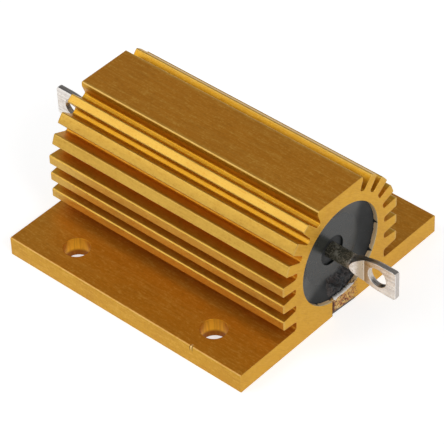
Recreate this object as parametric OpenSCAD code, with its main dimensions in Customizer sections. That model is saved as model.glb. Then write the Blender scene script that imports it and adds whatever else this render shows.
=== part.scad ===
// Aluminium housed power resistor, 75 W class: a finned extrusion on a drilled base flange.
// The wound ceramic element is moulded into the bore, and a flattened solder lug leaves each end.
// Millimetres. X runs along the bore, Z up from the seating face, origin at the base's centre.

/* [Extrusion] */
// Length of the cut extrusion along the bore
body_l = 48.7; // [44:0.1:60]
// Width over the base flange
body_w = 47.2; // [44:0.1:60]
// Height from the seating face to the flat top land
body_h = 23.9; // [23.2:0.1:25.5]
// Thickness of the base flange
base_t = 3.5; // [2.5:0.1:4]
// Width of the flat top land
land_w = 10.5; // [9.6:0.1:11.2]
// Edge radius along the flange and the land
edge_r = 0.3; // [0.1:0.05:0.5]

/* [Bore] */
// Height of the bore's axis above the seating face
axis_h = 11.8; // [11.4:0.1:12.4]
// Bore diameter
bore_d = 17.9; // [16:0.1:18.4]
// Wall between the bore and the bottom of the fin slots
barrel_wall = 1.6; // [1.2:0.1:2]

/* [Fins] */
// Radius of the fanned fin tips about the bore's axis
fan_tip_r = 13.4; // [13:0.1:14.2]
// Half width over the level fins
level_tip_y = 13.6; // [13.2:0.1:14.4]
// Width of a slot at its floor
slot_floor_w = 1.2; // [0.9:0.05:1.4]
// Width of a slot at its mouth
slot_mouth_w = 1.7; // [1.4:0.05:1.9]
// Radius in the corners of a slot's floor
floor_r = 0.4; // [0.15:0.05:0.45]
// Radius on the corners of a fin's tip
tip_r = 0.35; // [0.1:0.05:0.45]
// Fanned slots on each side
fan_slots = 4; // [2:1:4]
// Angle of the lowest fanned slot's floor above the horizontal
seat_first = 14.3; // [13:0.1:16]
// Angle from one fanned slot's floor to the next
seat_step = 15.6; // [15:0.1:16.2]
// Direction of the lowest fanned slot above the horizontal
aim_first = 11; // [9:0.5:14]
// Change of direction from one fanned slot to the next
aim_step = 18; // [16:0.5:18.5]
// Direction of the slot beside the land
land_slot_aim = 62; // [58:0.5:66]
// Width of that slot at its mouth
land_slot_mouth_w = 2.3; // [1.6:0.05:2.5]
// Level slots on each side
level_slots = 2; // [1:1:2]
// Drop from the bore's axis to the first level slot's middle
level_drop = 0.35; // [0.1:0.05:0.6]
// Distance between the level slots
level_pitch = 3.4; // [3.2:0.05:3.5]
// Height of the gap between the flange and the lowest fin, at its floor
foot_slot_h = 1.7; // [1.3:0.05:2]

/* [Mounting holes] */
// Spacing of the holes along the bore
hole_pitch_x = 29; // [20:0.1:38]
// Spacing of the holes across the bore
hole_pitch_y = 37; // [34:0.1:39]
// Hole diameter
hole_d = 4.4; // [3:0.1:5]

/* [Moulding gate] */
// Width over which the gate recess runs out across one end face
gate_w = 5.2; // [4:0.1:8]
// Distance of the recess's deep side from the middle
gate_side = 2; // [1:0.1:4]
// Depth of the gate recess at its deep side
gate_depth = 0.35; // [0.2:0.05:0.5]

/* [Moulding compound] */
// Radius of the flat middle of each compound face
plug_face_r = 6.2; // [5:0.1:8]
// Depth of the flat middle below the end of the extrusion
plug_recess = 1.7; // [0.5:0.05:2]
// Depth of the compound's rim at the bore's wall
rim_recess = 0.8; // [0.5:0.05:2]
// Radius of the pocket that the mould leaves round each terminal
pocket_r = 2.6; // [1.8:0.05:3.5]
// Depth of that pocket
pocket_depth = 0.35; // [0.1:0.05:0.6]

/* [Resistance element] */
// Diameter of the ceramic core
core_d = 10; // [7:0.1:11.5]
// Distance from the extrusion's end to the core
core_inset = 6.3; // [5:0.1:9]
// Bevel on the core's ends
core_bevel = 0.4; // [0.1:0.05:0.8]
// Length of an end cap's skirt over the core
cap_skirt = 4.5; // [2:0.1:7]
// Sheet thickness of an end cap
cap_wall = 0.6; // [0.3:0.05:0.9]
// Diameter of the resistance wire
wire_d = 0.6; // [0.3:0.05:0.8]
// Turns of wire
wire_turns = 15; // [4:1:16]

/* [Terminals] */
// Reach of each terminal past the extrusion's end
terminal_reach = 11.05; // [10:0.05:20]
// Diameter of a terminal's round shank
shank_d = 2.6; // [2:0.05:3]
// Length of the flattened lug, with its shoulder
lug_l = 8.4; // [7.9:0.1:9.5]
// Length of the shoulder, over which the wire thins to the lug
shoulder_l = 2.3; // [1:0.1:3]
// Length over which the lug swells to its full height
swell_l = 5.6; // [2.5:0.1:6]
// Drop of the element and its terminals below the bore's axis
element_drop = 0.25; // [0:0.05:0.4]
// Height of the lug
lug_h = 5.4; // [4.6:0.1:6]
// Thickness of the lug
lug_t = 0.95; // [0.6:0.05:1.4]
// Diameter of the lug's hole
lug_hole_d = 3.5; // [2:0.1:3.9]
// Distance from the hole's middle to the lug's end
lug_hole_edge = 3.55; // [3:0.05:3.8]
// Corner radius at the lug's end
lug_corner_r = 0.35; // [0.1:0.05:1]

/* [Fits] */
// Clearance between bonded or pressed round faces
bond_gap = 0.02; // [0.01:0.01:0.05]
// Clearance of the wire over the core
wire_lift = 0.06; // [0.06:0.01:0.1]

/* [Hidden] */
$fn = 96;
past = 1;                                  // how far a cutting shape runs past the face that it opens
bore_r = bore_d / 2;
slot_r = bore_r + barrel_wall;             // radius of the slot floors, and half the pedestal's width
tip_break = tip_r / 8;                     // how far a tip's round corners run past it, so that they meet it at an angle
core_r = core_d / 2;
shank_r = shank_d / 2;
half_l = body_l / 2;
cap_bore_r = core_r + bond_gap;
cap_r = cap_bore_r + cap_wall;
core_end = half_l - core_inset;
cap_end = core_end + cap_wall;             // where a cap's outer face stands
wire_sides = 6;
wire_steps = 20;                           // straight pieces in one turn
swell_steps = 6;
wire_path_r = core_r + wire_lift + wire_d / 2;
wire_end = core_end - cap_skirt - wire_d / 2 - bond_gap;
cavity_r = max(cap_r, wire_path_r + wire_d / 2) + bond_gap;
lug_end = half_l + terminal_reach;
lug_start = lug_end - lug_l;
hole_x = lug_end - lug_hole_edge;
element_z = axis_h - element_drop;

// ---- extrusion profile: y across, z up, drawn about the bore's axis ----

function seat_angle(i) = seat_first + i * seat_step;
function aim_angle(i) = i < fan_slots - 1 ? aim_first + i * aim_step : land_slot_aim;
function mouth(i) = i < fan_slots - 1 ? slot_mouth_w : land_slot_mouth_w;
function ray(a) = [cos(a), sin(a)];
function side(a) = [-sin(a), cos(a)];
function seat_point(i) = slot_r * ray(seat_angle(i));

// How far a line from p along u runs before it leaves the fan's circle, or the level fins' width.
function to_fan(p, u) = -p * u + sqrt(pow(p * u, 2) - p * p + fan_tip_r * fan_tip_r);
function to_level(p, u) = (level_tip_y - p[0]) / u[0];

// Depth of the corner on one side (s = 1 up, -1 down) of fanned slot i.
function fan_reach(i, s) =
    let (u = ray(aim_angle(i)), p = seat_point(i) + s * (mouth(i) / 2 + tip_r) * side(aim_angle(i)))
    i == 0 && s < 0 ? to_level(p, u) : to_fan(p, u);

top_mid = seat_point(fan_slots - 1);       // floor of the slot beside the land
top_out = top_mid + 2 * (fan_tip_r - slot_r) * ray(aim_angle(fan_slots - 1));
block_top = seat_point(0)[1] + (level_tip_y - slot_r) * sin(aim_first);

module both_sides() {
    children();
    mirror([1, 0]) children();
}

// A square with two round corners on its top edge, standing on y = 0 about x = 0.
module crowned(w, h, r) {
    translate([-w / 2, 0]) square([w, h - r]);
    translate([-w / 2 + r, 0]) square([w - 2 * r, h]);
    for (s = [-1, 1]) translate([s * (w / 2 - r), h - r]) circle(r);
}

// The part of a slot that rounds off a fin's tip, starting from the slot's side.
module tip_round() {
    difference() {
        square([fan_tip_r, tip_r]);
        translate([0, tip_r]) circle(tip_r);
    }
}

// One slot, from its floor at x = 0 outwards. Each side has its own depth, and a side of 0 isn't rounded.
module slot(mouth_w, reach_up, reach_down) {
    half_f = slot_floor_w / 2;
    half_m = mouth_w / 2;
    out = fan_tip_r - slot_r + 2 * past;
    up = (reach_up > 0 ? reach_up : out) + tip_break - tip_r;
    down = reach_down + tip_break - tip_r;
    polygon([[floor_r, -half_f], [down, -half_m], [out, -half_m], [out, half_m], [up, half_m], [floor_r, half_f]]);
    translate([0, floor_r - half_f]) square([floor_r, slot_floor_w - 2 * floor_r]);
    for (s = [-1, 1]) translate([floor_r, s * (half_f - floor_r)]) circle(floor_r);
    if (reach_up > 0) translate([up, half_m]) tip_round();
    translate([down, -half_m]) mirror([0, 1]) tip_round();
}

// The gap between the flange and the lowest fin, which runs out over the flange.
module foot_slot() {
    rise = (slot_mouth_w - slot_floor_w) / 2;
    corner = level_tip_y - slot_r + tip_break - tip_r;
    polygon([[floor_r, 0], [body_w, 0], [body_w, foot_slot_h + rise],
             [corner, foot_slot_h + rise], [floor_r, foot_slot_h]]);
    translate([0, floor_r]) square([floor_r, foot_slot_h - 2 * floor_r]);
    for (h = [floor_r, foot_slot_h - floor_r]) translate([floor_r, h]) circle(floor_r);
    translate([corner, foot_slot_h + rise]) tip_round();
}

// Everything that the slots are cut from.
module blank() {
    translate([0, -axis_h]) crowned(body_w, base_t, edge_r);
    translate([-level_tip_y, base_t - axis_h - past]) square([2 * level_tip_y, block_top + axis_h - base_t + past]);
    difference() {
        intersection() {
            circle(fan_tip_r);
            translate([-fan_tip_r, 0]) square([2 * fan_tip_r, fan_tip_r]);
        }
        polygon([top_mid, top_out, [-top_out[0], top_out[1]], [-top_mid[0], top_mid[1]]]);
    }
    crowned(land_w, body_h - axis_h, edge_r);
}

module profile() {
    difference() {
        blank();
        circle(bore_r);
        both_sides() {
            for (i = [0 : fan_slots - 1])
                translate(seat_point(i)) rotate(aim_angle(i))
                    slot(mouth(i), i < fan_slots - 1 ? fan_reach(i, 1) : 0, fan_reach(i, -1));
            for (i = [0 : level_slots - 1])
                translate([slot_r, -level_drop - i * level_pitch])
                    slot(slot_mouth_w, level_tip_y - slot_r, level_tip_y - slot_r);
            translate([slot_r, base_t - axis_h]) foot_slot();
        }
    }
}

module housing() {
    color([0.83, 0.6, 0.2])
    difference() {
        translate([0, 0, axis_h]) rotate([90, 0, 90]) linear_extrude(body_l, center = true) profile();
        for (x = [-1, 1], y = [-1, 1])
            translate([x * hole_pitch_x / 2, y * hole_pitch_y / 2, -past]) cylinder(d = hole_d, h = base_t + 2 * past);
        translate([half_l, -gate_side, -past]) linear_extrude(axis_h + past)
            polygon([[-gate_depth, 0], [past, 0], [past, gate_w * (1 + past / gate_depth)]]);
    }
}

// ---- what is moulded into the bore, turned about the X axis ----

// Turns a profile of [radius, x] points about a level axis, which is the element's unless stated.
module turned(points, height = element_z) {
    translate([0, 0, height]) rotate([0, 90, 0]) rotate_extrude() polygon(points);
}

module other_end() {
    mirror([1, 0, 0]) children();
}

// The compound fills the bore, apart from the space that the element takes.
module compound() {
    face = half_l - plug_recess;
    rim = half_l - rim_recess;
    r = bore_r - bond_gap;
    hole = shank_r + bond_gap;
    pocket = face - pocket_depth;
    color([0.2, 0.2, 0.2])
    difference() {
        turned([[0, -face], [plug_face_r, -face], [r, -rim], [r, rim], [plug_face_r, face], [0, face]], axis_h);
        turned([[0, -half_l], [pocket_r, -half_l], [pocket_r, -pocket], [hole, -pocket], [hole, -cap_end],
                [cavity_r, -cap_end], [cavity_r, cap_end], [hole, cap_end], [hole, pocket],
                [pocket_r, pocket], [pocket_r, half_l], [0, half_l]]);
    }
}

module core() {
    r = core_r;
    l = core_end;
    b = core_bevel;
    color([0.9, 0.88, 0.82]) turned([[0, -l], [r - b, -l], [r, b - l], [r, l - b], [r - b, l], [0, l]]);
}

// The wire: rings of points along a helix, each ring lying across the path.
module winding() {
    steps = wire_turns * wire_steps;
    points = [for (i = [0 : steps], j = [0 : wire_sides - 1])
        let (a = 360 * i / wire_steps, b = 360 * (j + 0.5) / wire_sides, r = wire_path_r + wire_d / 2 * cos(b))
        [wire_end * (2 * i / steps - 1) + wire_d / 2 * sin(b), r * cos(a), r * sin(a)]];
    sides = [for (i = [0 : steps - 1], j = [0 : wire_sides - 1])
        let (k = (j + 1) % wire_sides)
        [i * wire_sides + j, i * wire_sides + k, (i + 1) * wire_sides + k, (i + 1) * wire_sides + j]];
    first = [for (j = [0 : wire_sides - 1]) wire_sides - 1 - j];
    last = [for (j = [0 : wire_sides - 1]) steps * wire_sides + j];
    color([0.6, 0.58, 0.55]) translate([0, 0, element_z]) polyhedron(points, concat([first], sides, [last]));
}

module end_cap_a() {
    open = core_end - cap_skirt;
    color([0.7, 0.7, 0.72])
    turned([[0, core_end], [cap_bore_r, core_end], [cap_bore_r, open], [cap_r, open], [cap_r, cap_end], [0, cap_end]]);
}

module end_cap_b() { other_end() end_cap_a(); }

// A round wire flattened between dies: as it thins across Y it swells up and down, and keeps its round edges.
module terminal_a() {
    swell = lug_h / 2 - shank_r;
    shoulder_end = lug_start + shoulder_l;
    c = lug_corner_r;
    swelling = [for (i = [1 : swell_steps]) let (t = i / swell_steps)
        [shank_r + swell * sin(90 * t), lug_start + swell_l * t]];
    color([0.75, 0.73, 0.7])
    difference() {
        intersection() {
            turned(concat([[0, cap_end], [shank_r, cap_end], [shank_r, lug_start]], swelling,
                          [[lug_h / 2, lug_end - c], [lug_h / 2 - c * 0.3, lug_end - c * 0.3],
                           [lug_h / 2 - c, lug_end], [0, lug_end]]));
            translate([0, 0, element_z - lug_h]) linear_extrude(2 * lug_h)
                polygon([[cap_end - past, -shank_r - past], [lug_start - past, -shank_r - past],
                         [lug_start, -shank_r], [shoulder_end, -lug_t / 2], [lug_end + past, -lug_t / 2],
                         [lug_end + past, lug_t / 2], [shoulder_end, lug_t / 2], [lug_start, shank_r],
                         [lug_start - past, shank_r + past], [cap_end - past, shank_r + past]]);
        }
        translate([hole_x, 0, element_z]) rotate([90, 0, 0]) cylinder(d = lug_hole_d, h = shank_d, center = true);
    }
}

module terminal_b() { other_end() terminal_a(); }

housing();
compound();
core();
winding();
end_cap_a();
end_cap_b();
terminal_a();
terminal_b();
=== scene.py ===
"""Aluminium housed power resistor: materials, moulding debris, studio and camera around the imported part."""

import math

import bmesh
import bpy
from mathutils import Matrix, Vector, noise

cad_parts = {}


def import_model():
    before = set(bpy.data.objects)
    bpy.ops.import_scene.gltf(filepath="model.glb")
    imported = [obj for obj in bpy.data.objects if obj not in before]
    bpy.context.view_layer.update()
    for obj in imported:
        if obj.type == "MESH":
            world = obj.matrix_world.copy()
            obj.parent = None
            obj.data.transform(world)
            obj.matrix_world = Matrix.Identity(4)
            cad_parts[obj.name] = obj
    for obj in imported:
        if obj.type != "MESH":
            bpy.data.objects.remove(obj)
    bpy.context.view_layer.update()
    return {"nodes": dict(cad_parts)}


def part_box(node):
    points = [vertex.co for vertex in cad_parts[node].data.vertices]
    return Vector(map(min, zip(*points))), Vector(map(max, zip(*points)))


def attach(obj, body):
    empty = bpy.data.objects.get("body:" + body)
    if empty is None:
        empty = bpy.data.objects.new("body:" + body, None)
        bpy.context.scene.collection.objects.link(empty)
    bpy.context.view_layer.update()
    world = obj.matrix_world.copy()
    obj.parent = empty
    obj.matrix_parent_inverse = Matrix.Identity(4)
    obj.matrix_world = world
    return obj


MM = 0.001

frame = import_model()
nodes = frame["nodes"]

# ---- places, worked out from the frame ----

HOUSING_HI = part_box("housing")[1]
COMPOUND_LO, COMPOUND_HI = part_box("compound")
TERMINAL_LO, TERMINAL_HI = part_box("terminal_a")

END_X = HOUSING_HI.x                       # the sawn end face at the gate's end
SIDE_Y = HOUSING_HI.y                      # the flange's long side
LAND_Z = HOUSING_HI.z                      # the flat land on top
BASE_TOP = 3.5 * MM                        # the flange's upper face
HOLE_X, HOLE_Y = 14.5 * MM, 18.5 * MM      # the flange's holes, from the middle
HOLE_R = 2.2 * MM
FAN_TIP_R = 13.4 * MM                      # the fanned fins' tips, from the bore's axis
LEVEL_TIP_Y = 13.6 * MM                    # the level fins' tips
LEVEL_FINS_TOP = 15.1 * MM                 # the fins are level below this height and fan out above it

AXIS_Z = (COMPOUND_LO.z + COMPOUND_HI.z) / 2
BORE_R = (COMPOUND_HI.y - COMPOUND_LO.y) / 2    # the compound's radius, a hair under the bore's
RIM_X = COMPOUND_HI.x                      # where the compound meets the bore
FACE_X = END_X - 1.7 * MM                  # the flat middle of the compound's face
PLATEAU_R = 6.2 * MM                       # how far out the flat middle reaches
POCKET_R = 2.6 * MM                        # the shallow pocket round each shank

ELEMENT_Z = (TERMINAL_LO.z + TERMINAL_HI.z) / 2
LUG_END = TERMINAL_HI.x
LUG_START = LUG_END - 8.4 * MM             # where the round shank starts to flatten
SHOULDER_END = LUG_START + 2.3 * MM

GATE_LO, GATE_HI = -2.0 * MM, 3.2 * MM     # where the gate recess starts and where it has run out, across Y
GATE_TOP = 3.5 * MM
GATE_DEPTH = 0.35 * MM


def mm(length):
    """A length in millimetres, the unit of the materials."""
    return length / MM


def rgb(red, green, blue):
    return (red, green, blue, 1.0)


# ---- shader helper ----

class Shader:
    """A node material, written as expressions. Places and lengths in it are in millimetres."""

    def __init__(self, name, **constants):
        self.material = bpy.data.materials.new(name)
        self.material.use_nodes = True
        self.tree = self.material.node_tree
        self.tree.nodes.clear()
        output = self.tree.nodes.new("ShaderNodeOutputMaterial")
        self.principled = self.tree.nodes.new("ShaderNodeBsdfPrincipled")
        self.tree.links.new(self.principled.outputs[0], output.inputs["Surface"])
        self.surface(**constants)
        coordinates = self.tree.nodes.new("ShaderNodeTexCoord")
        self.normal = coordinates.outputs["Normal"]
        self.place = self.node("ShaderNodeVectorMath", "Vector", operation="MULTIPLY",
                               inputs=(coordinates.outputs["Object"], (1 / MM,) * 3))
        self.x, self.y, self.z = self.split(self.place)

    def surface(self, **sockets):
        """Sets the surface's sockets, named with _ for a space, and returns the material."""
        for socket, value in sockets.items():
            self.plug(self.principled.inputs[socket.replace("_", " ")], value)
        return self.material

    def plug(self, socket, value):
        if isinstance(value, bpy.types.NodeSocket):
            self.tree.links.new(value, socket)
        else:
            socket.default_value = value

    def node(self, kind, output, inputs=(), **settings):
        made = self.tree.nodes.new(kind)
        for key, value in settings.items():
            setattr(made, key, value)
        for index, value in (inputs.items() if isinstance(inputs, dict) else enumerate(inputs)):
            self.plug(made.inputs[index], value)
        return made.outputs[output]

    def split(self, vector):
        """The x, y and z of a vector."""
        parts = self.tree.nodes.new("ShaderNodeSeparateXYZ")
        self.tree.links.new(vector, parts.inputs[0])
        return parts.outputs

    def math(self, operation, *values):
        return self.node("ShaderNodeMath", 0, values, operation=operation)

    def fold(self, operation, values):
        """Joins two or more values, one after another, by the same operation."""
        result = values[0]
        for value in values[1:]:
            result = self.math(operation, result, value)
        return result

    def times(self, *values):
        return self.fold("MULTIPLY", values)

    def add(self, *values):
        return self.fold("ADD", values)

    def largest(self, *values):
        return self.fold("MAXIMUM", values)

    def minus(self, a, b):
        return self.math("SUBTRACT", a, b)

    def absolute(self, value):
        return self.math("ABSOLUTE", value)

    def distance(self, a, b):
        """The length of a step of a one way and b the other."""
        return self.math("SQRT", self.add(self.times(a, a), self.times(b, b)))

    def ramp(self, value, low, high, to_low=0.0, to_high=1.0):
        """value from low to high, smoothly mapped to to_low .. to_high."""
        return self.node("ShaderNodeMapRange", 0, (value, low, high, to_low, to_high),
                         interpolation_type="SMOOTHSTEP")

    def without(self, mask):
        """1 where the mask is 0, and 0 where it is 1."""
        return self.ramp(mask, 0.0, 1.0, 1.0, 0.0)

    def inside(self, value, low, high, soft):
        """1 between low and high, fading over soft on either side of each."""
        return self.times(self.ramp(value, low - soft, low + soft),
                          self.ramp(value, high - soft, high + soft, 1.0, 0.0))

    def noise(self, stretch, detail=3.0, roughness=0.55, turn=(0, 0, 0), offset=(0, 0, 0)):
        """Noise with stretch features per millimetre along x, y and z, turned first."""
        turned = self.node("ShaderNodeMapping", 0, {0: self.place, 1: offset, 2: turn, 3: (1, 1, 1)})
        scaled = self.node("ShaderNodeVectorMath", 0, (turned, stretch), operation="MULTIPLY")
        return self.node("ShaderNodeTexNoise", 0,
                         {"Vector": scaled, "Scale": 1.0, "Detail": detail, "Roughness": roughness})

    def mix(self, factor, a, b):
        made = self.tree.nodes.new("ShaderNodeMix")
        made.data_type = "RGBA"
        self.plug(made.inputs["Factor"], factor)
        self.plug(made.inputs[6], a)
        self.plug(made.inputs[7], b)
        return made.outputs[2]

    def radius(self, height=AXIS_Z):
        """Distance from the bore's axis, or from a line along X at another height."""
        return self.distance(self.y, self.minus(self.z, mm(height)))

    def facing(self, axis):
        """How far the surface faces along x, y or z, either way."""
        return self.absolute(self.split(self.normal)[axis])

    def rounded(self, width):
        """The normal, with sharp edges rounded over about width."""
        return self.node("ShaderNodeBevel", 0, {"Radius": width * MM}, samples=8)

    def edges(self, rounded):
        """1 on sharp edges, where the rounded normal leaves the true one."""
        flat = self.tree.nodes.new("ShaderNodeNewGeometry").outputs["Normal"]
        same = self.node("ShaderNodeVectorMath", "Value", (rounded, flat), operation="DOT_PRODUCT")
        return self.ramp(same, 0.985, 0.80)

    def bump(self, height, distance, strength=1.0, normal=None):
        inputs = {"Height": height, "Distance": distance * MM, "Strength": strength}
        if normal is not None:
            inputs["Normal"] = normal
        return self.node("ShaderNodeBump", 0, inputs)


# ---- the gold anodised housing ----

GOLD = rgb(0.59, 0.305, 0.014)
GOLD_LEVEL_SHADE = rgb(0.59, 0.230, 0.013)       # painted shade: a deeper, redder gold on the broad level faces
GOLD_SAWN = rgb(0.65, 0.342, 0.014)
# painted highlight: a paler, yellower gold on the fin tips
GOLD_TIP_HIGHLIGHT = rgb(0.62, 0.370, 0.062)
GOLD_SLOT_SHADE = rgb(0.66, 0.285, 0.018)        # painted shade tone: a redder gold between the fins
GOLD_PALE = rgb(0.76, 0.46, 0.085)
GOLD_DARK = rgb(0.42, 0.165, 0.010)
# worn edges with a painted edge highlight, and the bruise's bare metal
GOLD_WORN_AND_HIGHLIGHT = rgb(1.00, 0.80, 0.40)
REAMED, REAMED_SHADE = rgb(0.84, 0.40, 0.020), rgb(0.30, 0.09, 0.004)      # the holes' walls, and the painted shade low down in them
BARE, BARE_MOUTH_HIGHLIGHT = rgb(0.96, 0.68, 0.38), rgb(1.0, 0.82, 0.52)           # the bore's wall, and a painted highlight at its mouths
SCUFF, SCUFF_DARK, SCUFF_PALE = rgb(0.68, 0.44, 0.13), rgb(0.50, 0.20, 0.08), rgb(0.90, 0.70, 0.44)
SCUFF_SPECK = rgb(0.17, 0.04, 0.03)
GATE_STAIN, GATE_FOOT = rgb(0.07, 0.015, 0.015), rgb(0.12, 0.10, 0.09)
KNOCK_DARK = rgb(0.16, 0.07, 0.01)

SLOT_SHADE_LIGHT_Z, SLOT_SHADE_DEEP_Z = 19.5 * MM, 17.0 * MM   # the painted shade between the fins deepens downwards between these heights
REAMED_Z, REAMED_SHADE_Z = 1.5 * MM, 0.8 * MM         # painted shade darkens a hole's wall between these heights
STAIN_TOP, FOOT_TOP = 2.9 * MM, 0.85 * MM           # how high the gate's stain and its darker foot reach
KNOCKS = ((14.00, 14.14), (14.46, 14.62))           # dents in the flange's upper edge, in millimetres along X
BRUISE = (14.16, 14.44)                             # the bright metal between them


def drawn_grain(s):
    """Fine lines along X, broken up by specks."""
    lines = s.noise((0.6, 3.2, 3.2), detail=3.0, roughness=0.65)
    specks = s.noise((2.2, 2.2, 2.2), detail=4.0, roughness=0.75, offset=(2, 6, 3))
    return s.mix(0.5, lines, specks)


def broad_level(s):
    """1 on the land and on the flange's upper and lower faces."""
    flange = s.ramp(s.z, mm(BASE_TOP) + 0.2, mm(BASE_TOP) + 0.1)
    land = s.ramp(s.z, mm(LAND_Z) - 0.2, mm(LAND_Z) - 0.1)
    return s.times(s.largest(flange, land), s.ramp(s.facing(2), 0.6, 0.9))


def fin_reach(s):
    """How far out a place on the fins is: from the bore's axis, or sideways where the fins are level."""
    radius = s.radius()
    sideways = s.minus(s.absolute(s.y), mm(LEVEL_TIP_Y - FAN_TIP_R))
    level = s.ramp(s.z, mm(LEVEL_FINS_TOP) + 0.1, mm(LEVEL_FINS_TOP) - 0.1)
    return s.add(radius, s.times(level, s.minus(sideways, radius)))


def gold_dye_and_shade(s, sawn, broad):
    """The gold on each kind of face, a little uneven, with painted shade on the level faces and between the
    fins and a painted highlight on the fin tips.
    """
    clouds = s.noise((0.16, 0.22, 0.22), detail=3.0, offset=(9, 2, 5))
    bands = s.noise((0.05, 1.6, 1.6), detail=2.0, offset=(3, 7, 1))
    reach = fin_reach(s)
    # painted highlight on the fin tips
    tip_highlight = s.times(s.ramp(reach, mm(FAN_TIP_R) - 0.5, mm(FAN_TIP_R) - 0.2),
                  s.ramp(s.z, mm(BASE_TOP) + 0.3, mm(BASE_TOP) + 0.8))
    # painted shade between the fins, deeper towards the flange
    slot = s.times(s.ramp(reach, mm(FAN_TIP_R) - 0.3, mm(FAN_TIP_R) - 1.2), s.without(s.largest(sawn, broad)),
                   s.ramp(s.z, mm(SLOT_SHADE_LIGHT_Z), mm(SLOT_SHADE_DEEP_Z), 0.15, 0.80))
    # painted shade: the level faces take the deeper gold
    base = s.mix(broad, GOLD, GOLD_LEVEL_SHADE)
    base = s.mix(sawn, base, GOLD_SAWN)
    base = s.mix(tip_highlight, base, GOLD_TIP_HIGHLIGHT)
    base = s.mix(s.ramp(clouds, 0.40, 0.65, 0.0, 0.18), base, GOLD_DARK)
    base = s.mix(s.ramp(bands, 0.45, 0.70, 0.0, 0.15), base, GOLD_PALE)
    return s.mix(slot, base, GOLD_SLOT_SHADE)


def worn_and_highlit_edges(s, sawn, rounded):
    """Where the edges have lost their dye, with a painted highlight along them: most on those along X, less
    round the sawn ends.
    """
    chipped = s.ramp(s.noise((0.5, 1.8, 1.8), offset=(4, 4, 4)), 0.30, 0.55, 0.45, 1.0)
    lengthwise = s.ramp(s.absolute(s.split(rounded)[0]), 0.35, 0.10, 0.22, 1.0)
    sharp = s.times(s.edges(rounded), chipped, lengthwise, s.ramp(sawn, 0.0, 1.0, 1.0, 0.5))
    # The flange's and the land's long edges have round corners in the profile, so the normal shows them. A
    # painted highlight line runs along them.
    corner_highlight = s.ramp(s.times(s.facing(1), s.facing(2)), 0.22, 0.42, 0.0, 0.22)
    flange = s.times(s.ramp(s.z, mm(BASE_TOP) + 0.1, mm(BASE_TOP) + 0.05),
                     s.ramp(s.absolute(s.y), mm(SIDE_Y) - 0.7, mm(SIDE_Y) - 0.6))
    land = s.ramp(s.z, mm(LAND_Z) - 0.6, mm(LAND_Z) - 0.5)
    return s.largest(sharp, s.times(corner_highlight, s.largest(flange, land), chipped))


def from_holes(s):
    """Distance from the nearest hole's axis."""
    return s.distance(s.minus(s.absolute(s.x), mm(HOLE_X)), s.minus(s.absolute(s.y), mm(HOLE_Y)))


def reamed_holes(s, base, from_hole, broad):
    """The holes' walls: streaked from top to bottom, with painted shade low down."""
    streaks = s.noise((2.6, 2.6, 0.15), detail=3.0, offset=(3, 1, 7))
    wall = s.times(s.ramp(from_hole, mm(HOLE_R) + 0.05, mm(HOLE_R) + 0.15, 1.0, 0.0), s.without(broad))
    gold = s.mix(s.ramp(s.z, mm(REAMED_Z), mm(REAMED_SHADE_Z)), REAMED, REAMED_SHADE)
    return s.mix(wall, base, s.mix(s.ramp(streaks, 0.40, 0.56, 0.35, 0.0), gold, GOLD_DARK))


def bare_bore(s, base, bore):
    """The bore's wall, bare of dye, with a painted highlight near its mouths."""
    mouth_highlight = s.ramp(s.absolute(s.x), mm(END_X) - 0.40, mm(END_X) - 0.15)
    base = s.mix(bore, base, BARE)
    return s.mix(s.times(bore, mouth_highlight), base, BARE_MOUTH_HIGHLIGHT)


def gate_scar(s, specks):
    """1 on the wall of the gate recess, with a ragged border where the recess runs out."""
    ragged = s.add(s.y, s.ramp(specks, 0.3, 0.7, -0.8, 0.8))
    return s.times(s.ramp(s.y, mm(GATE_LO) - 0.15, mm(GATE_LO) + 0.05),
                   s.ramp(ragged, mm(GATE_HI) + 0.9, mm(GATE_HI) - 0.7),
                   s.ramp(s.z, mm(GATE_TOP) + 0.4, mm(GATE_TOP)),
                   s.ramp(s.x, mm(END_X) - 1.0, mm(END_X) - 0.6))


def scuffed_gate(s, base, gate, flecks, specks):
    """The gate's wall: scuffed and specked, stained beside its step and darker along its foot."""
    scuff = s.mix(s.ramp(flecks, 0.48, 0.58), SCUFF, SCUFF_DARK)
    scuff = s.mix(s.ramp(flecks, 0.44, 0.34), scuff, SCUFF_PALE)
    scuff = s.mix(s.ramp(specks, 0.49, 0.41, 0.0, 0.95), scuff, SCUFF_SPECK)
    beside = s.ramp(s.add(s.y, s.times(specks, 1.2)), mm(GATE_LO) + 1.8, mm(GATE_LO) + 1.1)
    scuff = s.mix(s.times(beside, s.ramp(s.z, mm(STAIN_TOP), mm(STAIN_TOP) - 0.6)), scuff, GATE_STAIN)
    foot = s.ramp(s.add(s.z, s.times(specks, 0.5)), mm(FOOT_TOP), mm(FOOT_TOP) - 0.4)
    return s.mix(s.times(gate, foot), s.mix(gate, base, scuff), GATE_FOOT)


def knocked_edge(s, base):
    """Two small dents and a bruise in the upper edge of the flange's -Y side."""
    side, top = -mm(SIDE_Y), mm(BASE_TOP)
    dents = s.largest(*(s.inside(s.x, low, high, 0.04) for low, high in KNOCKS))
    dark = s.times(dents, s.ramp(s.y, side + 0.3, side + 0.2), s.ramp(s.z, top - 1.3, top - 0.4))
    bright = s.times(s.inside(s.x, *BRUISE, 0.06), s.ramp(s.y, side + 0.7, side + 0.4),
                     s.ramp(s.z, top - 0.8, top - 0.4, 0.0, 0.4))
    return s.mix(bright, s.mix(dark, base, KNOCK_DARK), GOLD_WORN_AND_HIGHLIGHT)


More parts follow.
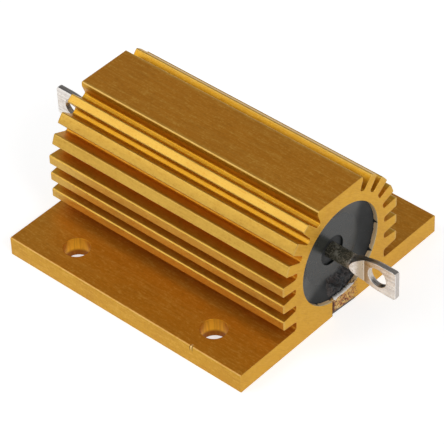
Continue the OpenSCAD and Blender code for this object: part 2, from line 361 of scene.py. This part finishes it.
def gold_anodised():
    s = Shader("gold_anodised", Specular_IOR_Level=0.3)
    sawn = s.ramp(s.facing(0), 0.7, 0.9)
    broad = broad_level(s)
    saw_marks = s.noise((1.0, 0.8, 6.0), detail=3.0, turn=(math.radians(38), 0, 0))
    grain = s.mix(sawn, drawn_grain(s), saw_marks)
    strong = s.ramp(sawn, 0.0, 1.0, 0.42, 0.20)
    base = gold_dye_and_shade(s, sawn, broad)
    base = s.mix(s.times(s.ramp(grain, 0.50, 0.62), strong), base, GOLD_PALE)
    base = s.mix(s.times(s.ramp(grain, 0.48, 0.38), strong), base, GOLD_DARK)

    rounded = s.rounded(0.16)
    from_hole = from_holes(s)
    clear = s.times(s.ramp(s.radius(), mm(BORE_R) + 0.6, mm(BORE_R) + 0.9),
                    s.ramp(from_hole, mm(HOLE_R) + 0.4, mm(HOLE_R) + 0.6))
    base = s.mix(s.times(worn_and_highlit_edges(s, sawn, rounded), clear), base, GOLD_WORN_AND_HIGHLIGHT)
    base = reamed_holes(s, base, from_hole, broad)
    bore = s.times(s.ramp(s.radius(), mm(BORE_R) + 0.05, mm(BORE_R) + 0.12, 1.0, 0.0), s.without(sawn))
    base = bare_bore(s, base, bore)

    flecks = s.noise((1.5, 1.5, 1.5), detail=5.0, roughness=0.75, offset=(1, 8, 3))
    specks = s.noise((3.2, 3.2, 3.2), detail=3.0, offset=(6, 1, 4))
    gate = gate_scar(s, specks)
    base = scuffed_gate(s, base, gate, flecks, specks)
    base = knocked_edge(s, base)

    rough = s.add(s.ramp(grain, 0.2, 0.8, 0.36, 0.48), s.times(broad, 0.08), s.times(gate, 0.12))
    lines = s.bump(grain, 0.016, 0.8, rounded)
    pits = s.bump(s.times(gate, flecks), 0.25, 0.9, lines)
    metal = s.ramp(bore, 0.0, 1.0, 0.82, 0.25)
    return s.surface(Base_Color=base, Metallic=metal, Roughness=rough, Normal=pits)


# ---- the moulding compound ----

COMPOUND, COMPOUND_PALE = rgb(0.006, 0.008, 0.007), rgb(0.011, 0.013, 0.012)
COMPOUND_SHADE = rgb(0.002, 0.003, 0.004)
COMPOUND_GRIT = rgb(0.10, 0.09, 0.08)
BROKEN, BROKEN_BROWN = rgb(0.006, 0.010, 0.012), rgb(0.020, 0.012, 0.010)
BROKEN_GRIT = rgb(0.16, 0.12, 0.11)
SHADE_SIDE_Y, SHADE_LOW_Z = 5.0 * MM, 7.0 * MM        # painted shade darkens the face past these, sideways and downwards


def moulding_compound():
    s = Shader("moulding_compound", IOR=1.48)
    mottled = s.noise((0.5, 0.5, 0.5), detail=4.0)
    grit = s.noise((5.0, 5.0, 5.0), detail=3.0, offset=(2, 5, 8))
    # painted shade: a dark band on the face's +Y side and low down, a dark ring at the rim and in the pocket
    # round the shank
    side = s.largest(s.ramp(s.y, mm(SHADE_SIDE_Y), mm(SHADE_SIDE_Y) + 1.6),
                     s.ramp(s.z, mm(SHADE_LOW_Z), mm(SHADE_LOW_Z) - 1.6))
    pocket = s.ramp(s.radius(ELEMENT_Z), mm(POCKET_R) + 0.05, mm(POCKET_R) - 0.20)
    rim = s.ramp(s.radius(), mm(BORE_R) - 0.75, mm(BORE_R) - 0.25)
    base = s.mix(s.ramp(mottled, 0.3, 0.7), COMPOUND, COMPOUND_PALE)
    base = s.mix(s.times(s.largest(side, rim, pocket), 0.85), base, COMPOUND_SHADE)
    base = s.mix(s.ramp(grit, 0.62, 0.70, 0.0, 0.25), base, COMPOUND_GRIT)
    rough = s.add(s.ramp(mottled, 0.3, 0.7, 0.24, 0.32), s.times(s.largest(side, pocket), 0.35))
    ripple = s.bump(mottled, 0.02, 0.35)
    return s.surface(Base_Color=base, Roughness=rough, Normal=s.bump(grit, 0.004, 0.5, ripple))


def broken_compound():
    s = Shader("broken_compound", IOR=1.55)
    grit = s.noise((2.6, 2.6, 2.6), detail=5.0, roughness=0.7)
    tint = s.noise((1.1, 1.1, 1.1), detail=2.0, offset=(7, 3, 1))
    base = s.mix(s.ramp(tint, 0.40, 0.60), BROKEN, BROKEN_BROWN)
    base = s.mix(s.ramp(grit, 0.56, 0.70, 0.0, 0.7), base, BROKEN_GRIT)
    rough = s.ramp(grit, 0.3, 0.7, 0.25, 0.6)
    return s.surface(Base_Color=base, Roughness=rough, Normal=s.bump(grit, 0.25, 0.8))


# ---- the terminals ----

TIN, TIN_PALE = rgb(0.61, 0.56, 0.52), rgb(0.90, 0.86, 0.81)
TIN_BLOTCH, TIN_NECK = rgb(0.54, 0.45, 0.36), rgb(0.44, 0.35, 0.24)
TIN_CREASE, TIN_EDGE_HIGHLIGHT = rgb(0.90, 0.86, 0.80), rgb(0.95, 0.92, 0.90)
TIN_GRIT, TIN_END = rgb(0.24, 0.19, 0.15), rgb(0.50, 0.46, 0.43)
TIN_LEVEL_SHADE, TIN_LEVEL_SHADE_PALE = rgb(0.17, 0.16, 0.155), rgb(0.34, 0.32, 0.31)      # painted shade on the lug's upper and lower edges
FILM, FILM_PALE, FILM_THIN_AND_LIT = rgb(0.12, 0.115, 0.080), rgb(0.40, 0.37, 0.28), rgb(0.54, 0.52, 0.43)


def shank_film(s, base, film, grit, blotches):
    """The smear of compound on the shank, thinner in places along its upper side, with a painted highlight
    there.
    """
    # thinner smear and painted highlight, in blotches on the upper side
    thin = s.times(s.ramp(blotches, 0.50, 0.62), s.ramp(s.z, mm(ELEMENT_Z) + 0.3, mm(ELEMENT_Z) + 1.0))
    smear = s.mix(thin, s.mix(s.ramp(grit, 0.48, 0.64), FILM, FILM_PALE), FILM_THIN_AND_LIT)
    return s.mix(s.times(film, 0.95), base, smear)


def tinned_copper():
    s = Shader("tinned_copper", Metallic=1.0)
    drawn = s.noise((0.15, 5.0, 2.2), detail=3.0)
    blotches = s.noise((0.7, 0.7, 0.7), detail=4.0, offset=(5, 1, 2))
    grit = s.noise((4.0, 4.0, 4.0), detail=3.0, offset=(1, 4, 9))
    out = s.absolute(s.x)
    neck = s.times(s.ramp(out, mm(LUG_START) + 0.5, mm(SHOULDER_END) - 0.6, 0.0, 0.9),
                   s.ramp(out, mm(SHOULDER_END) + 1.6, mm(SHOULDER_END) + 0.2))
    crease = s.times(s.inside(out, mm(SHOULDER_END) - 0.08, mm(SHOULDER_END) + 0.08, 0.06), 0.5)
    base = s.mix(s.ramp(drawn, 0.3, 0.7), TIN, TIN_PALE)
    base = s.mix(s.ramp(blotches, 0.45, 0.7, 0.0, 0.50), base, TIN_BLOTCH)
    base = s.mix(neck, base, TIN_NECK)
    base = s.mix(crease, base, TIN_CREASE)
    base = s.mix(s.ramp(grit, 0.40, 0.32, 0.0, 0.75), base, TIN_GRIT)

    # painted shade on the lug's level faces
    level = s.times(s.ramp(s.facing(2), 0.6, 0.9),
                    s.ramp(out, mm(LUG_START) + 1.0, mm(LUG_START) + 2.0, 0.0, 0.75))
    end = s.times(s.ramp(s.facing(0), 0.7, 0.9), s.ramp(out, mm(LUG_END) - 0.4, mm(LUG_END) - 0.2))
    rounded = s.rounded(0.15)
    base = s.mix(level, base, s.mix(s.ramp(drawn, 0.42, 0.58), TIN_LEVEL_SHADE, TIN_LEVEL_SHADE_PALE))
    base = s.mix(end, base, TIN_END)
    # painted highlight along the terminals' sharp edges
    base = s.mix(s.times(s.edges(rounded), 0.8), base, TIN_EDGE_HIGHLIGHT)

    film = s.ramp(s.add(out, s.times(blotches, 1.6)), mm(LUG_START) + 0.2, mm(LUG_START) + 1.2, 1.0, 0.0)
    base = shank_film(s, base, film, grit, blotches)
    rough = s.add(s.ramp(drawn, 0.3, 0.7, 0.26, 0.44), s.times(film, 0.12))
    skin = s.bump(s.times(film, grit), 0.12, 0.7, rounded)
    return s.surface(Base_Color=base, Roughness=rough, Normal=s.bump(s.add(drawn, blotches), 0.03, 0.5, skin))


# ---- the other materials ----

def steatite():
    s = Shader("steatite", Roughness=0.6)
    specks = s.noise((1.5, 1.5, 1.5), detail=4.0)
    base = s.mix(specks, rgb(0.70, 0.66, 0.58), rgb(0.86, 0.83, 0.77))
    return s.surface(Base_Color=base, Normal=s.bump(specks, 0.02, 0.4))


def plain_metal(name, dark, pale):
    s = Shader(name, Metallic=1.0)
    drawn = s.noise((0.3, 3.0, 3.0), detail=3.0)
    return s.surface(Base_Color=s.mix(drawn, dark, pale), Roughness=s.ramp(drawn, 0.2, 0.8, 0.3, 0.5))


def glinting_torn_aluminium():
    """Freshly torn aluminium, painted almost white and not metallic: a painted glint."""
    s = Shader("glinting_bare_aluminium", Metallic=0.0)
    torn = s.noise((2.0, 2.0, 2.0), detail=4.0)
    base = s.mix(torn, rgb(0.95, 0.89, 0.80), rgb(1.00, 0.98, 0.95))
    rough = s.ramp(torn, 0.3, 0.7, 0.30, 0.55)
    return s.surface(Base_Color=base, Roughness=rough, Normal=s.bump(torn, 0.05, 0.6))


# ---- pieces that the mould leaves behind ----
# Angles go round the bore's axis, from +Y towards +Z.

def wave(*place):
    return noise.noise(Vector(place))


def round_axis(x, r, angle):
    """The point at a distance and an angle round the bore's axis."""
    return (x, r * math.cos(angle), AXIS_Z + r * math.sin(angle))


def between(start, stop, steps):
    """The share from 0 to 1, and the value there, at each step from start to stop."""
    for i in range(steps + 1):
        share = i / steps
        yield share, start + share * (stop - start)


def skin(rings, around):
    """A mesh over rings of points, each joined to the next, and the last to the first if around is true."""
    bm = bmesh.new()
    rows = [[bm.verts.new(point) for point in ring] for ring in rings]
    count = len(rows[0])
    pairs = list(zip(rows, rows[1:])) + ([(rows[-1], rows[0])] if around else [])
    for a, b in pairs:
        for i in range(count):
            j = (i + 1) % count
            bm.faces.new((a[i], a[j], b[j], b[i]))
    if not around:
        bm.faces.new(rows[0])
        bm.faces.new(list(reversed(rows[-1])))
    return bm


def made_piece(name, bm, material):
    bmesh.ops.recalc_face_normals(bm, faces=bm.faces)
    mesh = bpy.data.meshes.new(name)
    bm.to_mesh(mesh)
    bm.free()
    mesh.materials.append(material)
    for face in mesh.polygons:
        face.use_smooth = True
    piece = bpy.data.objects.new(name, mesh)
    bpy.context.scene.collection.objects.link(piece)
    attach(piece, "root")
    return piece


FLASH_STEPS = 720
FLASH_THICK = 0.07 * MM
FLASH_ROOT = 0.2 * MM                      # how far behind the compound's rim it starts
NIBS = (                                   # angle in degrees, height in millimetres, width in degrees
    (1.4, 0.80, 1.3),
    (-32, 0.75, 1.4),
    (-125, 0.60, 0.8),
    (-152, 0.65, 0.9),
    (40, 0.30, 1.2),
)


def flash_height(angle, seed):
    """Height of the flash past the rim at an angle in degrees, in millimetres."""
    ragged = 0.03 + 0.12 * wave(angle * 0.13, seed, 0) + 0.10 * wave(angle * 0.6, seed, 4)
    nib = max(high * math.exp(-((angle - at + 180) % 360 - 180) ** 2 / wide ** 2) for at, high, wide in NIBS)
    return max(0.02, ragged) + nib


def flash(name, end, seed, material):
    """The thin skin of compound that crept along the bore's wall past the rim."""
    rings = []
    for i in range(FLASH_STEPS):
        degrees = 360 * i / FLASH_STEPS
        high = min(flash_height(degrees, seed) * MM, END_X - RIM_X)
        section = ((0.0, -FLASH_ROOT), (FLASH_THICK, -FLASH_ROOT), (FLASH_THICK, high * 0.3),
                   (FLASH_THICK * 0.6, high * 0.9), (0.0, high))
        rings.append([round_axis(end * (RIM_X + along), BORE_R - depth, math.radians(degrees))
                      for depth, along in section])
    return made_piece(name, skin(rings, around=True), material)


STUB_FROM, STUB_TO = math.radians(-106), math.radians(-58)
STUB_INNER_R, STUB_OUTER_R = 5.3 * MM, BORE_R - 0.28 * MM
STUB_STEPS, STUB_ROWS = 72, 40
STUB_SUNK = 0.12 * MM                      # how far its border dips under the compound's face
STUB_ROOT = 0.3 * MM                       # how far its back lies under that face


def compound_x(r):
    """Where the compound's face stands at a distance from the bore's axis."""
    return FACE_X + max(0.0, (r - PLATEAU_R) / (BORE_R - PLATEAU_R)) * (RIM_X - FACE_X)


def stub_height(u, v):
    """Height of the stub over the compound's face. u runs along it and v outwards, from 0 to 1."""
    fade = min(1.0, 8 * u, 8 * (1 - u), 3 * v, 6 * (1 - v))
    place = Vector((u * 5, v * 3, 2))
    near = noise.voronoi(place)[0]
    lump = 1.5 * (near[1] - near[0]) + 0.5 * noise.noise(place * 2.1) + 0.12 * noise.noise(place * 6.1)
    return fade * max(0.05, 0.15 + 0.8 * lump) * MM - (1 - fade) * STUB_SUNK


def gate_break(material):
    """The rough stub left where the runner broke off the compound's rim."""
    rings = []
    for u, angle in between(STUB_FROM, STUB_TO, STUB_STEPS):
        inner = STUB_INNER_R + 1.3 * MM * wave(u * 6, 3, 1)
        outer = STUB_OUTER_R + 0.20 * MM * wave(u * 9, 8, 1)
        front, back = [], []
        for v, r in between(inner, outer, STUB_ROWS):
            front.append(round_axis(compound_x(r) + stub_height(u, v), r, angle))
            back.append(round_axis(compound_x(r) - STUB_ROOT, r, angle))
        rings.append(front + back[::-1])
    return made_piece("gate_break", skin(rings, around=False), material)


BURR_FROM, BURR_TO = math.radians(-99), math.radians(-69)
BURR_STEPS = 120
TOOTH_AT, TOOTH_WIDE = 0.10, 0.07          # one long tooth near its start, in shares of its length


def recess_x(y):
    """Where the end face stands across the gate recess, which runs out towards +Y."""
    return END_X - GATE_DEPTH * max(0.0, (GATE_HI - y) / (GATE_HI - GATE_LO))


def gate_burr(material):
    """The lip of bare metal along the bore's wall, where the runner tore away; its brightness is a painted
    glint.
    """
    rings = []
    for u, angle in between(BURR_FROM, BURR_TO, BURR_STEPS):
        taper = min(1, 14 * u + 0.05, 7 * (1 - u) + 0.05)
        tooth = 0.38 * math.exp(-((u - TOOTH_AT) / TOOTH_WIDE) ** 2)
        wavy = wave(u * 14, 5, 2)
        out = recess_x(BORE_R * math.cos(angle)) + (0.03 + 0.03 * wavy) * MM
        back = out - (0.55 + 0.25 * wavy) * MM * taper
        inner = BORE_R - (0.05 + 0.10 * taper) * MM
        outer = BORE_R + (0.03 + tooth) * MM * taper
        section = ((back, BORE_R), (back, inner), (out - 0.10 * MM, BORE_R - 0.06 * MM),
                   (out, BORE_R - 0.01 * MM), (out, outer), (out - 0.08 * MM, outer + 0.02 * MM))
        rings.append([round_axis(x, r, angle) for x, r in section])
    return made_piece("gate_burr", skin(rings, around=False), material)


# ---- studio ----

CAMERA_TARGET = Vector((1.4594, -1.7341, 6.4373)) * MM
CAMERA_AZIMUTH = math.radians(-47.052)     # from +X, anticlockwise from above
CAMERA_ELEVATION = math.radians(41.817)
CAMERA_ROLL = math.radians(-2.284)
CAMERA_DISTANCE = 428.55 * MM
CAMERA_LENS, SENSOR = 219.85, 36.0         # focal length and sensor width, in millimetres
BACKGROUND_ON_OBJECT = 0.45                # the white background's strength as light on the object
FLOOR_Z, FLOOR_R = -0.02 * MM, 4.0         # a hair under the object, so that the two faces don't meet
FLOOR_GREY = 0.62
FLOOR_GLOW = 0.64
CEILING_Z, CEILING_R = 0.90, 4.0
CEILING_GLOW = 0.38
WHITE = rgb(1.0, 1.0, 1.0)


def camera():
    data = bpy.data.cameras.new("camera")
    data.lens = CAMERA_LENS
    data.sensor_width = SENSOR
    data.clip_start = 0.01
    data.clip_end = 20.0
    out = Vector((math.cos(CAMERA_ELEVATION) * math.cos(CAMERA_AZIMUTH),
                  math.cos(CAMERA_ELEVATION) * math.sin(CAMERA_AZIMUTH), math.sin(CAMERA_ELEVATION)))
    right = Vector((0, 0, 1)).cross(out).normalized()
    up = out.cross(right)
    roll = Matrix.Rotation(CAMERA_ROLL, 3, out)
    axes = Matrix((roll @ right, roll @ up, out)).transposed().to_4x4()
    obj = bpy.data.objects.new("camera", data)
    obj.matrix_world = Matrix.Translation(CAMERA_TARGET + out * CAMERA_DISTANCE) @ axes
    bpy.context.scene.collection.objects.link(obj)
    bpy.context.scene.camera = obj


def shown_rays(tree):
    """1 for rays that show the background: from the camera, or seen in gloss or through glass."""
    path = tree.nodes.new("ShaderNodeLightPath")
    total = path.outputs["Is Camera Ray"]
    for extra in ("Is Glossy Ray", "Is Transmission Ray"):
        add = tree.nodes.new("ShaderNodeMath")
        add.operation = "MAXIMUM"
        tree.links.new(total, add.inputs[0])
        tree.links.new(path.outputs[extra], add.inputs[1])
        total = add.outputs[0]
    return total


def world():
    """White wherever the background shows, and weaker as light on the object."""
    made = bpy.data.worlds.new("studio")
    bpy.context.scene.world = made
    made.use_nodes = True
    tree = made.node_tree
    tree.nodes.clear()
    level = tree.nodes.new("ShaderNodeMapRange")
    tree.links.new(shown_rays(tree), level.inputs["Value"])
    level.inputs["To Min"].default_value = BACKGROUND_ON_OBJECT
    level.inputs["To Max"].default_value = 1.0
    background = tree.nodes.new("ShaderNodeBackground")
    background.inputs["Color"].default_value = WHITE
    tree.links.new(level.outputs[0], background.inputs["Strength"])
    output = tree.nodes.new("ShaderNodeOutputWorld")
    tree.links.new(background.outputs[0], output.inputs[0])


def disc(name, radius, z):
    """A level disc of the studio, with an empty material. Returns the material's node tree."""
    bm = bmesh.new()
    bmesh.ops.create_circle(bm, cap_ends=True, radius=radius, segments=64)
    mesh = bpy.data.meshes.new(name)
    bm.to_mesh(mesh)
    bm.free()
    obj = bpy.data.objects.new(name, mesh)
    obj.location.z = z
    bpy.context.scene.collection.objects.link(obj)
    material = bpy.data.materials.new(name)
    material.use_nodes = True
    material.node_tree.nodes.clear()
    mesh.materials.append(material)
    return material.node_tree


def surface_of_two(tree, kind, first, second):
    """Makes two shaders, joined by a node of that kind, the material's surface. Returns the node."""
    both = tree.nodes.new(kind)
    tree.links.new(first, both.inputs[-2])
    tree.links.new(second, both.inputs[-1])
    output = tree.nodes.new("ShaderNodeOutputMaterial")
    tree.links.new(both.outputs[0], output.inputs["Surface"])
    return both


def ceiling():
    """A grey overhead panel, which level metal reflects. The camera looks through it."""
    tree = disc("ceiling", CEILING_R, CEILING_Z)
    glow = tree.nodes.new("ShaderNodeEmission")
    glow.inputs["Strength"].default_value = CEILING_GLOW
    clear = tree.nodes.new("ShaderNodeBsdfTransparent")
    path = tree.nodes.new("ShaderNodeLightPath")
    both = surface_of_two(tree, "ShaderNodeMixShader", glow.outputs[0], clear.outputs[0])
    tree.links.new(path.outputs["Is Camera Ray"], both.inputs[0])


def floor():
    """A pale floor. Where it is seen it also glows, so that it reads white and still takes a shadow."""
    tree = disc("floor", FLOOR_R, FLOOR_Z)
    diffuse = tree.nodes.new("ShaderNodeBsdfDiffuse")
    diffuse.inputs["Color"].default_value = rgb(FLOOR_GREY, FLOOR_GREY, FLOOR_GREY)
    strength = tree.nodes.new("ShaderNodeMath")
    strength.operation = "MULTIPLY"
    tree.links.new(shown_rays(tree), strength.inputs[0])
    strength.inputs[1].default_value = FLOOR_GLOW
    glow = tree.nodes.new("ShaderNodeEmission")
    tree.links.new(strength.outputs[0], glow.inputs["Strength"])
    surface_of_two(tree, "ShaderNodeAddShader", diffuse.outputs[0], glow.outputs[0])


def softbox(name, direction, distance, size, watts):
    """A round soft light that faces the origin. Its distance and size are in metres."""
    data = bpy.data.lights.new(name, "AREA")
    data.shape = "DISK"
    data.size = size
    data.energy = watts
    obj = bpy.data.objects.new(name, data)
    out = Vector(direction).normalized()
    obj.location = out * distance
    obj.rotation_euler = out.to_track_quat("Z", "Y").to_euler()
    bpy.context.scene.collection.objects.link(obj)


# ---- the part ----

def dress(material, *names):
    for name in names:
        for slot in nodes[name].material_slots:
            slot.material = material


compound = moulding_compound()
dress(gold_anodised(), "housing")
dress(compound, "compound")
dress(tinned_copper(), "terminal_a", "terminal_b")
dress(steatite(), "core")
dress(plain_metal("resistance_wire", rgb(0.32, 0.30, 0.28), rgb(0.46, 0.44, 0.41)), "winding")
dress(plain_metal("plated_steel", rgb(0.50, 0.50, 0.50), rgb(0.68, 0.68, 0.68)), "end_cap_a", "end_cap_b")

flash("flash_a", end=1, seed=2.0, material=compound)
flash("flash_b", end=-1, seed=9.0, material=compound)
gate_break(broken_compound())
gate_burr(glinting_torn_aluminium())

bpy.context.scene.view_settings.view_transform = "Standard"
camera()
world()
floor()
ceiling()
softbox("key", direction=(-0.50, -0.54, 0.67), distance=0.8, size=0.60, watts=1.9)
softbox("front", direction=(0.80, -0.15, 0.60), distance=0.9, size=0.50, watts=2.6)
